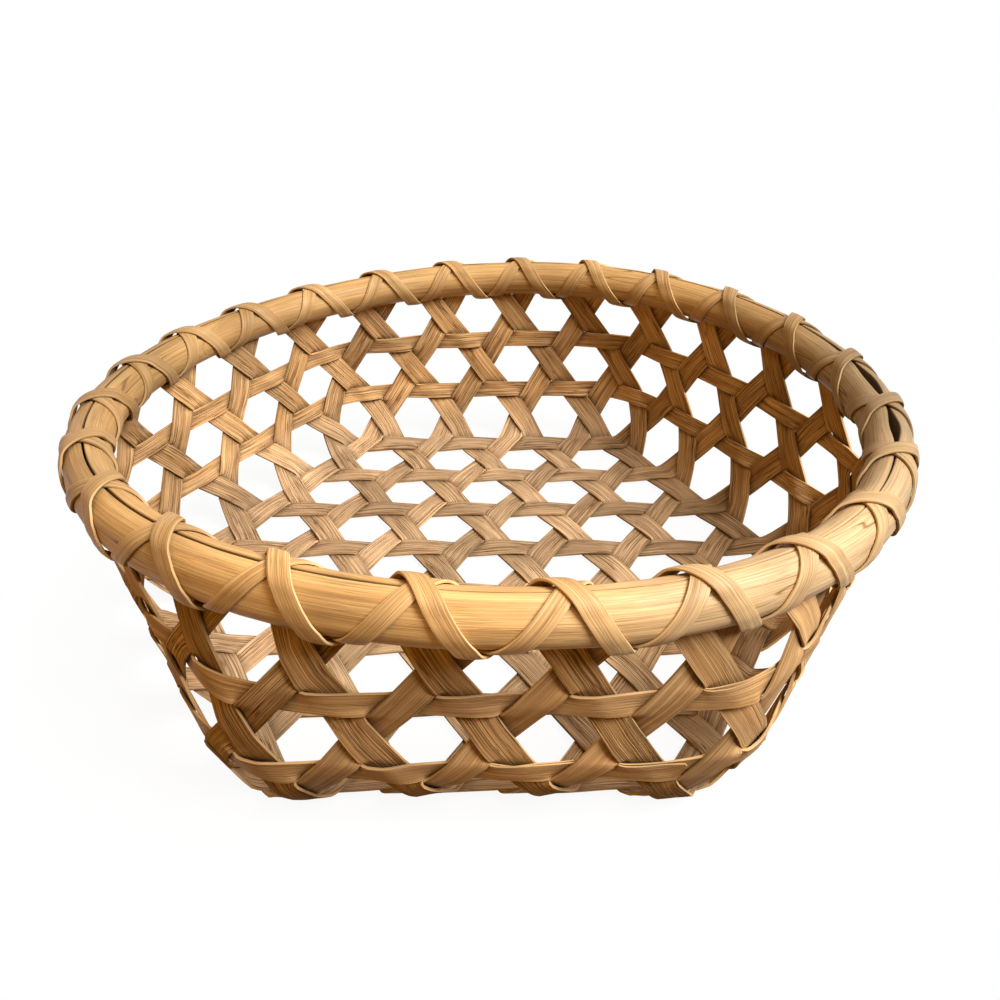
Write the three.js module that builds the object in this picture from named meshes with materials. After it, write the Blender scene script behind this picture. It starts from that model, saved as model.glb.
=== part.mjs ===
// An open cheese basket: flat splints in a three-way hexagon weave, two wall hoops and a lashed round rim.
// Millimetres, +Z up. The origin lies under the middle of the base, and the front of the basket faces -Y.
// Rows are counted up the wall: 0 is the edge of the base, 1 and 2 are the hoops, half rows lie between.
import * as THREE from "three";

// Weave stock
const SPLINTS_EACH_WAY = 8; // an even count, so that a hexagon lies in the middle of the base
const SPLINT_WIDTH = 9.5;
const SPLINT_THICKNESS = 0.9;
const HOOP_WIDTH = 7.2;
const HOOP_NAMES = ["hoop_lower", "hoop_upper"];
const HOOP_LAP_CROSSINGS = 3; // how many crossings the two thinned ends of a hoop share
const LAYER_GAP = 0.3; // clearance between pieces that press on each other
const CROSSING_MARGIN = 0.2; // how far a strip stays level past the edges of the strip that it crosses

// Wall shape
const EDGE_TILT = THREE.MathUtils.degToRad(8); // lean of the outermost base splints
const TURN_UP_ROWS = 0.48; // rows over which the wall turns upright
const ROUND_ROW = 3.15; // row at which the six-sided wall has become a circle
const CORNER_SHARPNESS = 18; // a higher number gives tighter corners at the foot of the wall

// Rim and lashing
const RIM_DIAMETER = 15; // the two half-round hoops together
const RIM_STEPS = 72;
const SECTION_STEPS = 16; // sides of the round section, shared by the rim and the lashing
const CROTCH_GAP = 1; // height of the open triangle between the last crossing and the rim
const SCARF_LENGTH = 26; // of the slanted joint of a rim hoop, along the rim
const SCARF_GAP = 0.5;
const SCARF_COLUMN_OUTER = 5.3; // counted from the middle of the front, to the right
const SCARF_COLUMN_INNER = -17;
const LASHER_WIDTH = 5.8;
const LASHER_THICKNESS = 0.8;
const LASHER_SEAT_GAP = 0.35; // clearance between the rim and the lashing
const LASHER_END_GAP = 1; // between the first and the last end of a lasher
const LASHER_START_ANGLE = THREE.MathUtils.degToRad(225); // on the lower inner face of the rim
const LASHER_LIFT_HEIGHTS = [0.35, 0.7]; // where the upper lasher lifts, in rim radii

// Sizes that follow from the weave
const SIDES = 6;
const OUTLINE_STEPS = 120; // along half of one side of the wall's outline
const TANGENT_STEP = 0.02; // share of half a side over which the wall's direction is taken
const ROUNDING_ERROR = 0.01;
const SIDE_ANGLE = (2 * Math.PI) / SIDES;
const FRONT_ANGLE = -Math.PI / 2;
const ROOT3 = Math.sqrt(3);
const UP = new THREE.Vector3(0, 0, 1);
const COLUMNS = SIDES * SPLINTS_EACH_WAY;
const TRIANGLE_GAP = SPLINT_THICKNESS + LAYER_GAP; // side of the pinhole between three splints
const SPACING = ROOT3 * SPLINT_WIDTH + TRIANGLE_GAP; // between crossings along a splint
const HALF_SIDE = (SPLINTS_EACH_WAY - 1) / 2; // in crossings, along one side of the base
const LAYER = (SPLINT_THICKNESS + LAYER_GAP) / 2; // a splint's middle above or below the weave's
const WEAVE_DEPTH = LAYER + SPLINT_THICKNESS / 2;
const TOP_ROW = HOOP_NAMES.length + 0.5; // the last crossing of the splints below the rim

// Slant height from a strip of the given width up to the next crossing of two splints, past the pinhole.
function halfRow(acrossWidth) {
  const open = SPACING - TRIANGLE_GAP;
  const across = (SPACING * acrossWidth) / 2;
  const lean = open ** 2 - SPLINT_WIDTH ** 2;
  const reach = across ** 2 - (SPLINT_WIDTH * SPACING) ** 2 / 4;
  return (open * across + Math.sqrt((open * across) ** 2 - lean * reach)) / lean;
}

function wallSlope(row) {
  return Math.PI / 2 - (Math.PI / 2 - EDGE_TILT) * Math.exp(-row / TURN_UP_ROWS);
}

// Mean radius and height of the wall's middle surface at every half row, from the edge of the base upward.
function wallProfile() {
  const edgeLift = ((SPLINT_WIDTH + 2 * CROSSING_MARGIN) / ROOT3) * Math.sin(EDGE_TILT);
  let radius = (SIDES * 2 * HALF_SIDE * SPACING) / (2 * Math.PI);
  let height = WEAVE_DEPTH + edgeLift;
  const profile = [{ radius, height }];
  for (let half = 0; half < 2 * TOP_ROW + 1; half++) {
    const startsOnStrip = half % 2 === 0;
    const acrossWidth = half === 0 ? SPLINT_WIDTH : HOOP_WIDTH;
    const slopes = [wallSlope(half / 2), wallSlope((half + 1) / 2)];
    const bendAllowance = WEAVE_DEPTH * Math.tan((slopes[1] - slopes[0]) / 2);
    const nearStrip = acrossWidth / 2 + bendAllowance;
    const nearCrossing = halfRow(acrossWidth) - acrossWidth / 2 + bendAllowance;
    const lengths = startsOnStrip ? [nearStrip, nearCrossing] : [nearCrossing, nearStrip];
    slopes.forEach((slope, i) => {
      radius += lengths[i] * Math.cos(slope);
      height += lengths[i] * Math.sin(slope);
    });
    profile.push({ radius, height });
  }
  return profile;
}

const PROFILE = wallProfile();
const RIM_RADIUS = PROFILE[2 * TOP_ROW].radius;
const TOP_CROSSING_HEIGHT = PROFILE[2 * TOP_ROW].height;
const CROSSING_ANGLE = Math.atan2(halfRow(HOOP_WIDTH), SPACING / 2); // of a splint on the wall, from level
const CROSSING_TIP = SPLINT_WIDTH / 2 / Math.cos(CROSSING_ANGLE);
const RIM_FOOT = TOP_CROSSING_HEIGHT + CROSSING_TIP + CROTCH_GAP;
const RIM_HEIGHT = RIM_FOOT + RIM_DIAMETER / 2;
const SPLINT_TOP = TOP_CROSSING_HEIGHT + 2 * halfRow(HOOP_WIDTH) - CROSSING_TIP - CROTCH_GAP;
const SLIT = SPLINT_THICKNESS + 2 * LAYER_GAP; // between the two rim hoops

// Looks of the pieces
const SPLINT_LOOK = new THREE.MeshStandardMaterial({ color: 0xc4935a, roughness: 0.6, metalness: 0 });
const HOOP_LOOK = new THREE.MeshStandardMaterial({ color: 0xc99a60, roughness: 0.6, metalness: 0 });
const RIM_LOOK = new THREE.MeshStandardMaterial({ color: 0xd6a862, roughness: 0.5, metalness: 0 });
const LASHER_LOOK = new THREE.MeshStandardMaterial({ color: 0xdcb26c, roughness: 0.5, metalness: 0 });

const basket = new THREE.Group();

function addPiece(name, geometry, look) {
  const mesh = new THREE.Mesh(geometry, look);
  mesh.name = name;
  basket.add(mesh);
}

// A closed solid through sections of equally many points, counter-clockwise about the direction of travel.
function sweptSolid(sections) {
  const count = sections[0].length;
  const positions = sections.flat().flatMap((point) => point.toArray());
  const index = [];
  for (let s = 0; s + 1 < sections.length; s++) {
    for (let i = 0; i < count; i++) {
      const a = s * count + i;
      const b = s * count + ((i + 1) % count);
      const c = b + count;
      const d = a + count;
      const firstHalf = i < count / 2; // opposite faces are split along the same diagonal
      index.push(...(firstHalf ? [a, b, d, b, c, d] : [a, b, c, a, c, d]));
    }
  }
  const last = (sections.length - 1) * count;
  for (let i = 1; i + 1 < count; i++) {
    index.push(0, i + 1, i);
    index.push(last, last + i, last + i + 1);
  }
  const geometry = new THREE.BufferGeometry();
  geometry.setAttribute("position", new THREE.Float32BufferAttribute(positions, 3));
  geometry.setIndex(index);
  geometry.computeVertexNormals();
  return geometry;
}

function polar(radius, angle, height) {
  return new THREE.Vector3(radius * Math.cos(angle), radius * Math.sin(angle), height);
}

// Outline of the wall at a row, over half of one side: a hexagon with soft corners that turns into a circle.
const rings = new Map();
function ringAt(row) {
  if (!rings.has(row)) {
    const roundness = Math.min(1, (row / ROUND_ROW) ** 2);
    const middle = 1 + 2 * Math.cos(SIDE_ANGLE) ** CORNER_SHARPNESS;
    const radii = [];
    const lengths = [0];
    for (let i = 0; i <= OUTLINE_STEPS; i++) {
      const angle = ((SIDE_ANGLE / 2) * i) / OUTLINE_STEPS;
      const sum = [-1, 0, 1]
        .map((turn) => Math.abs(Math.cos(angle + turn * SIDE_ANGLE)) ** CORNER_SHARPNESS)
        .reduce((total, term) => total + term, 0);
      const hexagon = (middle / sum) ** (1 / CORNER_SHARPNESS);
      radii.push(1 + (1 - roundness) * (hexagon - 1));
      if (i > 0) {
        const step = polar(radii[i], angle, 0).distanceTo(
          polar(radii[i - 1], angle - SIDE_ANGLE / 2 / OUTLINE_STEPS, 0),
        );
        lengths.push(lengths[i - 1] + step);
      }
    }
    const scale = (2 * Math.PI * PROFILE[2 * row].radius) / (2 * SIDES * lengths[OUTLINE_STEPS]);
    rings.set(row, { radii, lengths, scale });
  }
  return rings.get(row);
}

// Point of the wall's middle surface. The share runs evenly along a side, from -1 to 1.
function wallPoint(row, side, share) {
  const { radii, lengths, scale } = ringAt(row);
  const wanted = Math.abs(share) * lengths[OUTLINE_STEPS];
  let i = 1;
  while (i < OUTLINE_STEPS && lengths[i] < wanted) i++;
  const part = (wanted - lengths[i - 1]) / (lengths[i] - lengths[i - 1]);
  const angle = ((SIDE_ANGLE / 2) * (i - 1 + part)) / OUTLINE_STEPS;
  const radius = scale * THREE.MathUtils.lerp(radii[i - 1], radii[i], part);
  const turn = FRONT_ANGLE + side * SIDE_ANGLE + Math.sign(share) * angle;
  return polar(radius, turn, PROFILE[2 * row].height);
}

// Place and outward normal of a crossing on the wall, a number of columns from the middle of a side.
function wallPlace(row, side, column) {
  const wholeColumns = (Math.PI * PROFILE[2 * row].radius) / (SIDES * SPACING);
  const halfWidth = row < 1 ? wholeColumns : SPLINTS_EACH_WAY / 2;
  const over = Math.abs(column) > halfWidth ? Math.sign(column) : 0;
  const place = [side + over, (column - 2 * over * halfWidth) / halfWidth];
  const ahead = wallPoint(row, place[0], place[1] + TANGENT_STEP);
  const along = ahead.sub(wallPoint(row, place[0], place[1] - TANGENT_STEP));
  const upward = wallPoint(row + 0.5, ...place).sub(wallPoint(row - 0.5, ...place));
  return { point: wallPoint(row, ...place), normal: along.cross(upward).normalize() };
}

// Place and outward normal of a crossing in the base. The edge of the base is lifted and leans out.
function basePlace(x, y) {
  const reaches = Array.from({ length: SIDES }, (_, side) => {
    const outward = polar(1, FRONT_ANGLE + side * SIDE_ANGLE, 0);
    return { outward, reach: outward.x * x + outward.y * y };
  });
  const edge = ROOT3 * HALF_SIDE * SPACING;
  const touched = reaches.filter(({ reach }) => reach > edge - SPACING / 4);
  const lean = new THREE.Vector3();
  touched.forEach(({ outward }) => lean.add(outward));
  const height = touched.length ? PROFILE[0].height : WEAVE_DEPTH;
  const normal = UP.clone().negate();
  if (touched.length) {
    normal.multiplyScalar(Math.cos(EDGE_TILT)).addScaledVector(lean.normalize(), Math.sin(EDGE_TILT));
  }
  return { point: new THREE.Vector3(x, y, height), normal };
}

// Crossings are shared by the two strips that meet there.
const crossings = new Map();
function crossingAt(key, makePlace) {
  if (!crossings.has(key)) crossings.set(key, { ...makePlace(), passes: [] });
  return crossings.get(key);
}

function wallCrossing(row, side, column) {
  const around = (SPLINTS_EACH_WAY * side + column + COLUMNS) % COLUMNS;
  return crossingAt("row " + row + " column " + around, () => wallPlace(row, side, column));
}

// The three ways of the base splints, and the way that each one passes over, seen from outside.
const WAYS = ["a", "b", "c"].map((name, i) => {
  const direction = polar(1, i * SIDE_ANGLE, 0);
  return { name, direction, across: UP.clone().cross(direction) };
});
const passesOver = (way, other) => (WAYS.indexOf(way) + 1) % WAYS.length === WAYS.indexOf(other);

function baseStops(way, number) {
  const offset = number - HALF_SIDE;
  const reach = 2 * HALF_SIDE - Math.abs(offset);
  const stops = [];
  for (let along = -reach; along <= reach; along++) {
    const place = way.direction
      .clone()
      .multiplyScalar(along * SPACING)
      .addScaledVector(way.across, offset * ROOT3 * SPACING);
    for (const other of WAYS.filter((one) => one !== way)) {
      const otherNumber = place.dot(other.across) / (ROOT3 * SPACING) + HALF_SIDE;
      if (Math.abs(otherNumber - Math.round(otherNumber)) > ROUNDING_ERROR) continue;
      const key = [way.name + number, other.name + Math.round(otherNumber)].sort().join(" ");
      const crossing = crossingAt(key, () => basePlace(place.x, place.y));
      stops.push({ crossing, over: passesOver(way, other) });
    }
  }
  return stops;
}

// The stops of one splint end up the wall, from the base to the rim, and where it goes into the rim.
function wallStops(end, travel) {
  const sides = Array.from({ length: SIDES }, (_, side) => ({
    side,
    outward: polar(1, FRONT_ANGLE + side * SIDE_ANGLE, 0),
  }));
  const leaving = sides.filter(({ outward }) => outward.dot(travel) > ROUNDING_ERROR);
  leaving.sort((one, two) => two.outward.dot(end) - one.outward.dot(end));
  const { side, outward } = leaving[0];
  const right = UP.clone().cross(outward);
  const lean = Math.sign(right.dot(travel));
  const start = Math.round((2 * right.dot(end)) / SPACING) / 2;
  const stops = [];
  for (let row = 0.5; row <= TOP_ROW; row += 0.5) {
    const onHoop = Number.isInteger(row);
    const crossing = wallCrossing(row, side, start + lean * row);
    stops.push({ crossing, over: onHoop ? lean > 0 : lean < 0 });
  }
  const column = start + lean * TOP_ROW;
  const angle = FRONT_ANGLE + ((SPLINTS_EACH_WAY * side + column) / COLUMNS) * 2 * Math.PI;
  return { stops, clamp: { angle, lean } };
}

function rimAngle({ angle, lean }, height) {
  const shift = (height - TOP_CROSSING_HEIGHT) / Math.tan(CROSSING_ANGLE);
  return angle + (lean * shift) / RIM_RADIUS;
}

// A splint from rim to rim: down one wall, across the base and up another.
function makeSplint(way, number) {
  const across = baseStops(way, number);
  const first = wallStops(across[0].crossing.point, way.direction.clone().negate());
  const last = wallStops(across.at(-1).crossing.point, way.direction);
  return {
    name: "splint_" + way.name + (number + 1),
    width: SPLINT_WIDTH,
    look: SPLINT_LOOK,
    stops: [...first.stops.reverse(), ...across, ...last.stops],
    clamps: [first.clamp, last.clamp],
  };
}

// A hoop goes once round and then runs on along its own start, where both ends are thinned to fit together.
function makeHoop(name, row) {
  const stops = [];
  for (let i = 0; i < COLUMNS + HOOP_LAP_CROSSINGS; i++) {
    const column = (i % COLUMNS) + 0.5;
    const side = Math.floor((column + SPLINTS_EACH_WAY / 2) / SPLINTS_EACH_WAY);
    const crossing = wallCrossing(row, side % SIDES, column - side * SPLINTS_EACH_WAY);
    const lap = i < HOOP_LAP_CROSSINGS ? 1 : i >= COLUMNS ? -1 : 0;
    stops.push({ crossing, hoop: true, lap });
  }
  return { name, width: HOOP_WIDTH, look: HOOP_LOOK, stops, clamps: null };
}

const strips = [
  ...WAYS.flatMap((way) => Array.from({ length: SPLINTS_EACH_WAY }, (_, number) => makeSplint(way, number))),
  ...HOOP_NAMES.map((name, i) => makeHoop(name, i + 1)),
];

// Direction of each strip at each of its stops, in the plane of the crossing.
function clampPoint(clamp) {
  return polar(RIM_RADIUS, rimAngle(clamp, RIM_FOOT), RIM_FOOT);
}
for (const strip of strips) {
  const points = strip.stops.map(({ crossing }) => crossing.point);
  const before = strip.clamps ? clampPoint(strip.clamps[0]) : points[COLUMNS - 1];
  const after = strip.clamps ? clampPoint(strip.clamps[1]) : points[HOOP_LAP_CROSSINGS];
  strip.stops.forEach((stop, i) => {
    const chord = (points[i + 1] ?? after).clone().sub(points[i - 1] ?? before);
    stop.direction = chord.projectOnPlane(stop.crossing.normal).normalize();
    if (stop.lap !== -1) stop.crossing.passes.push({ strip, stop });
  });
}

// The flat place of a strip at a crossing, bounded by the edges of the strip that it crosses: two ribs.
function crossingRibs(strip, stop) {
  const { point, normal, passes } = stop.crossing;
  const other = passes.find((pass) => pass.strip !== strip);
  const over = stop.hoop ? !other.stop.over : stop.over;
  const sine = stop.direction.clone().cross(other.stop.direction).length();
  const left = normal.clone().cross(stop.direction);
  const slant = other.stop.direction.clone().multiplyScalar(Math.sign(other.stop.direction.dot(left)));
  const middle = (over ? 1 : -1) * LAYER;
  const inner = middle + (stop.lap === 1 ? LAYER_GAP / 2 : -SPLINT_THICKNESS / 2);
  const outer = middle + (stop.lap === -1 ? -LAYER_GAP / 2 : SPLINT_THICKNESS / 2);
  return [-1, 1].map((along) => {
    const corner = (side, depth) =>
      point
        .clone()
        .addScaledVector(stop.direction, (along * (other.strip.width / 2 + CROSSING_MARGIN)) / sine)
        .addScaledVector(slant, (side * strip.width) / (2 * sine))
        .addScaledVector(normal, depth);
    return [corner(-1, inner), corner(1, inner), corner(1, outer), corner(-1, outer)];
  });
}

// A level rib of a splint end inside the slit of the rim. Travel is 1 on the way up and -1 on the way down.
function clampRib(clamp, height, travel) {
  const halfAngle = SPLINT_WIDTH / 2 / Math.sin(CROSSING_ANGLE) / RIM_RADIUS;
  const corner = (side, depth) =>
    polar(RIM_RADIUS + depth, rimAngle(clamp, height) - side * travel * halfAngle, height);
  const half = SPLINT_THICKNESS / 2;
  return [corner(-1, -half), corner(1, -half), corner(1, half), corner(-1, half)];
}

for (const strip of strips) {
  const ribs = strip.stops.flatMap((stop) => crossingRibs(strip, stop));
  if (strip.clamps) {
    const [first, last] = strip.clamps;
    ribs.unshift(clampRib(first, SPLINT_TOP, -1), clampRib(first, RIM_FOOT, -1));
    ribs.push(clampRib(last, RIM_FOOT, 1), clampRib(last, SPLINT_TOP, 1));
  }
  addPiece(strip.name, sweptSolid(ribs), strip.look);
}

// Half of the round rim section as radial and vertical offsets. Facing is 1 outside and -1 inside the slit.
function halfRoundSection(facing) {
  const radius = RIM_DIAMETER / 2;
  const quarter = SECTION_STEPS / 4;
  const points = [];
  for (let i = 1; i < 2 * quarter; i++) {
    const angle = facing * (Math.PI / 2 - (i * Math.PI) / (2 * quarter));
    points.push([facing * radius * Math.cos(angle), radius * Math.sin(angle)]);
  }
  const [nextAcross, nextUp] = points[0];
  const share = SLIT / 2 / Math.abs(nextAcross);
  const lipUp = facing * radius + (nextUp - facing * radius) * share;
  const lipAcross = (facing * SLIT) / 2;
  return [[lipAcross, lipUp], ...points, [lipAcross, -lipUp]];
}

// A rim hoop is bent round once, and its ends meet in a slanted scarf.
function rimHoop(facing, scarfColumn) {
  const section = halfRoundSection(facing);
  const start = FRONT_ANGLE + (scarfColumn / COLUMNS) * 2 * Math.PI;
  const sweep = 2 * Math.PI - SCARF_GAP / (RIM_RADIUS - RIM_DIAMETER / 2);
  const sections = [];
  for (let step = 0; step <= RIM_STEPS; step++) {
    const angle = start + (sweep * step) / RIM_STEPS;
    sections.push(
      section.map(([across, up]) => {
        const slant = ((Math.abs(across) - SLIT / 2) / (RIM_DIAMETER / 2)) * SCARF_LENGTH;
        return polar(RIM_RADIUS + across, angle + slant / RIM_RADIUS, RIM_HEIGHT + up);
      }),
    );
  }
  return sweptSolid(sections);
}

addPiece("rim_outer", rimHoop(1, SCARF_COLUMN_OUTER), RIM_LOOK);
addPiece("rim_inner", rimHoop(-1, SCARF_COLUMN_INNER), RIM_LOOK);

// A lasher winds round the rim once for each hole below it. The two hands, -1 and 1, cross above and below.
function lasherSections(hand, lift) {
  const turns = COLUMNS / 2;
  const turnAngle = (2 * Math.PI) / turns;
  const pitch = turnAngle * RIM_RADIUS;
  const girth = Math.PI * (RIM_DIAMETER + 2 * LASHER_SEAT_GAP + LASHER_THICKNESS);
  const halfAngle = LASHER_WIDTH / 2 / Math.cos(Math.atan2(pitch, girth)) / RIM_RADIUS;
  const topColumn = strips[0].clamps[0].angle;
  const startTurn = (hand * (LASHER_START_ANGLE - Math.PI / 2)) / (2 * Math.PI);
  const endTrim = LASHER_END_GAP / 2 / Math.hypot(pitch, girth);
  const firstTurn = startTurn + endTrim;
  const lastTurn = startTurn + turns - endTrim;
  const stations = [firstTurn];
  for (let i = Math.ceil(firstTurn * SECTION_STEPS); i <= lastTurn * SECTION_STEPS; i++) {
    stations.push(i / SECTION_STEPS);
  }
  stations.push(lastTurn);
  return stations.map((turn) => {
    const around = Math.PI / 2 + hand * turn * 2 * Math.PI;
    const angle = topColumn + turn * turnAngle;
    const raised = lift * THREE.MathUtils.smoothstep(Math.abs(Math.sin(around)), ...LASHER_LIFT_HEIGHTS);
    const inner = RIM_DIAMETER / 2 + LASHER_SEAT_GAP + raised;
    const corner = (side, depth) =>
      polar(
        RIM_RADIUS + (inner + depth) * Math.cos(around),
        angle - hand * side * halfAngle,
        RIM_HEIGHT + (inner + depth) * Math.sin(around),
      );
    return [corner(-1, 0), corner(1, 0), corner(1, LASHER_THICKNESS), corner(-1, LASHER_THICKNESS)];
  });
}

// The least distance between points of a winding that lie more than half a turn apart along it.
function leastGapToItself(sections) {
  const apart = SECTION_STEPS / 2;
  let least = Infinity;
  for (let i = 0; i < sections.length; i++) {
    for (let j = i + apart; j < sections.length; j++) {
      for (const point of sections[i]) {
        for (const other of sections[j]) least = Math.min(least, point.distanceTo(other));
      }
    }
  }
  return least;
}

const LASHERS = [
  { name: "lasher_under", hand: 1, lift: 0 },
  { name: "lasher_over", hand: -1, lift: LASHER_THICKNESS + LAYER_GAP },
];
for (const { name, hand, lift } of LASHERS) {
  const sections = lasherSections(hand, lift);
  console.log(name + ": least gap to itself " + leastGapToItself(sections).toFixed(2) + " mm");
  addPiece(name, sweptSolid(sections), LASHER_LOOK);
}

export default basket;
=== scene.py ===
"""Looks of an open cheese basket: splints, hoops, rim, lashing and a plain studio, in metres."""

import math
import random
from bisect import bisect_left
from dataclasses import dataclass, field

import bpy
from bpy.props import FloatProperty, FloatVectorProperty, IntProperty, PointerProperty
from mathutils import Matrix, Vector, noise
from mathutils.kdtree import KDTree


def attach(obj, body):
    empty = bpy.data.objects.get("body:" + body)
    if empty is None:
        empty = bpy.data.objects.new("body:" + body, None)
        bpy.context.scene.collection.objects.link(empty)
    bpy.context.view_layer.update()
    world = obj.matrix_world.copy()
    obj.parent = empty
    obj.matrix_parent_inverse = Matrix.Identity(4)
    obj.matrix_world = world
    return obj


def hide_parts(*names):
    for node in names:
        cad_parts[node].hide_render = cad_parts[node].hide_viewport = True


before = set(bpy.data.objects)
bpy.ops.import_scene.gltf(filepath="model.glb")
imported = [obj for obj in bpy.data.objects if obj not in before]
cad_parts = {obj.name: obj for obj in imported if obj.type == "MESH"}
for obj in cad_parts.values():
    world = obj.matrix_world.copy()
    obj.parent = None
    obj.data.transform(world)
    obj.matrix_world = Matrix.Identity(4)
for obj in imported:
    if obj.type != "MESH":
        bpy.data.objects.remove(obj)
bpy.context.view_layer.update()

bl_info = {
    "name": "Cheese basket",
    "version": (1, 0, 0),
    "blender": (4, 5, 0),
    "location": "3D View > Sidebar > Basket",
    "description": "Dresses a hexagon-weave cheese basket and sets it in a plain studio",
    "category": "Add Mesh",
}

BODY = "root"
GRAIN_MAP = "grain"
TONE = "tone"

# The six-sided weave
SIDES = 6
SIDE_ANGLE = 2 * math.pi / SIDES
FRONT_ANGLE = -math.pi / 2
ROOT3 = math.sqrt(3)
UP = Vector((0, 0, 1))
HOOP_NAMES = ("hoop_lower", "hoop_upper")
HOOP_STARTS = (0, 2)
SPLIT_SIDE_OUT = "splint_b"
OUTLINE_STEPS = 120
TANGENT_STEP = 0.02
ROUNDING_ERROR = 0.01

# Fineness of the meshes
LANES = 7
ARCH_STEPS = 3
DIP_STEPS = 5
RIM_STEPS = 288
RIM_ARC_POINTS = 28
LASHER_LANES = 5
LASHER_STEPS = 44
SMOOTH_ANGLE = math.radians(30)
BEVEL_ANGLE = math.radians(60)

# A piece's grain starts this far along the pattern for each step of its number, so no two are alike
PIECE_SPAN = 1.7
RIM_NUMBER = 30
LASHER_NUMBER = 40

# Handwork: how strips vary from crossing to crossing, bend and end
ARCH_RANGE = (0.3, 1.2)
WIDTH_RANGE = (1.02, 1.06)
TONE_RANGE = (0.82, 1.14)
STIFFNESS = 0.5
TIP_SHARPNESS = 0.85
LAP_THICKNESS = 0.5

# Settling, in shares of the wall's height and of the rim's radius
FOOT_HEIGHTS = (0.65, 0.1)
FOOT_RADII = (0.5, 0.85)
SAG_STARTS = (0, 0.08)
SAG_ENDS = (0.3, 0.12)
# With this factor, share**2 * (1 - share) reaches 1 where it is highest
BULGE_FACTOR = 27 / 4

# The rim's shaved surface, its slit and the lashers' lift over each other
SHAVING_ALONG = 6
SHAVING_ROUND = 1.3
SHAVING_PIECE = 7.1
SHAVING_DETAIL = 3.1
SEAM_SLACK = 0.001
LIP_POINTS = ((0, 2), (0.3, 0.5))
PRESSED_SHARE = 0.9
LIFT_SINES = (0.45, 0.85)

# Tones, which multiply the colour of the wood. Beside crossings and in the rim's slit they are painted
# shade.
# Painted shade beside a crossing, on the face that the other strip covers
CROSSING_SHADE_TONE = 0.6
# Painted shade in the rim's slit, less where the hoops are pressed shut
COVERED_COSINES = (0, 0.5)
SLIT_SHADE_TONE = 0.4
PRESSED_LESS_SHADE = 0.7
RIM_TONES = (0.97, 0.76)
RIM_FADE = (-0.13, 0.03)
SIDE_DARK_PLACE = 0.14
LEFT_SIDE_DARKENING = 0.22
RIGHT_SIDE_DARKENING = 0.37

# The studio
WHITE = (1, 1, 1)
PAPER_COLOUR = (0.9, 0.9, 0.9)
FLOOR_HEIGHT = -0.0008
FLOOR_SIZE = 8
SHADOW_RADII = (0.11, 0.2)
KEY_PLACE = (1.0, -0.42, 1.24)
KEY_SIZE = 0.9
FILL_PLACE = (0.0, -0.35, 0.9)
SIDE_PLACE = (-0.9, -0.45, 0.12)
SOFT_SIZE = 0.6
LAMP_TARGET = Vector((0, 0, 0.04))
SENSOR_WIDTH = 36
CLIP_START = 0.01


def metres(name, description, default):
    return FloatProperty(name=name, description=description, default=default, unit="LENGTH")


def degrees(name, description, default):
    return FloatProperty(name=name, description=description, default=math.radians(default), subtype="ANGLE")


def watts(name, description, default):
    return FloatProperty(name=name, description=description, default=default, unit="POWER")


def amount(name, description, default):
    return FloatProperty(name=name, description=description, default=default)


def colour(name, description, default):
    return FloatVectorProperty(
        name=name, description=description, default=default, subtype="COLOR", size=3, min=0, max=1
    )


class WeaveSizes(bpy.types.PropertyGroup):
    """Sizes of the splints, the wall hoops and the wall."""

    splints_each_way: IntProperty(
        name="Splints each way", description="Splints in each of the three directions", default=8, min=2
    )
    splint_width: metres("Splint width", "Width of a splint", 0.0095)
    thickness: metres("Thickness", "Thickness of splints and hoops", 0.0009)
    hoop_width: metres("Hoop width", "Width of a wall hoop", 0.0072)
    hoop_lap: IntProperty(
        name="Hoop lap", description="Crossings that the two ends of a hoop share", default=3
    )
    tip_length: metres("Tip length", "Length of the point of a hoop's end", 0.006)
    clearance: metres("Clearance", "Room between crossing solids", 0.0003)
    crossing_margin: metres(
        "Crossing margin", "How far a strip stays level past the strip that it crosses", 0.0002
    )
    edge_tilt: degrees("Edge tilt", "Lean of the outermost base splints", 8)
    turn_up_rows: amount("Turn-up rows", "Rows over which the wall turns upright", 0.48)
    round_row: amount("Round row", "Row at which the wall has become a circle", 3.15)
    corner_sharpness: amount("Corner sharpness", "Tightness of the corners at the foot of the wall", 18)
    contact_gap: metres("Contact gap", "Room left where strips touch", 0.00012)
    arch: metres("Arch", "How far a strip bows out over a crossing", 0.0004)
    hoop_arch: metres("Hoop arch", "How far a hoop bows out over a crossing", 0.0009)
    wander: metres("Wander", "How far a strip strays sideways", 0.00025)
    # Painted shade: how far the darkening beside a crossing reaches
    crossing_shade_reach: metres("Crossing shade reach", "How far painted shade spreads from a crossing", 0.0035)
    edge_round: metres("Edge round", "Rounding of the cut edges", 0.00014)


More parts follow.
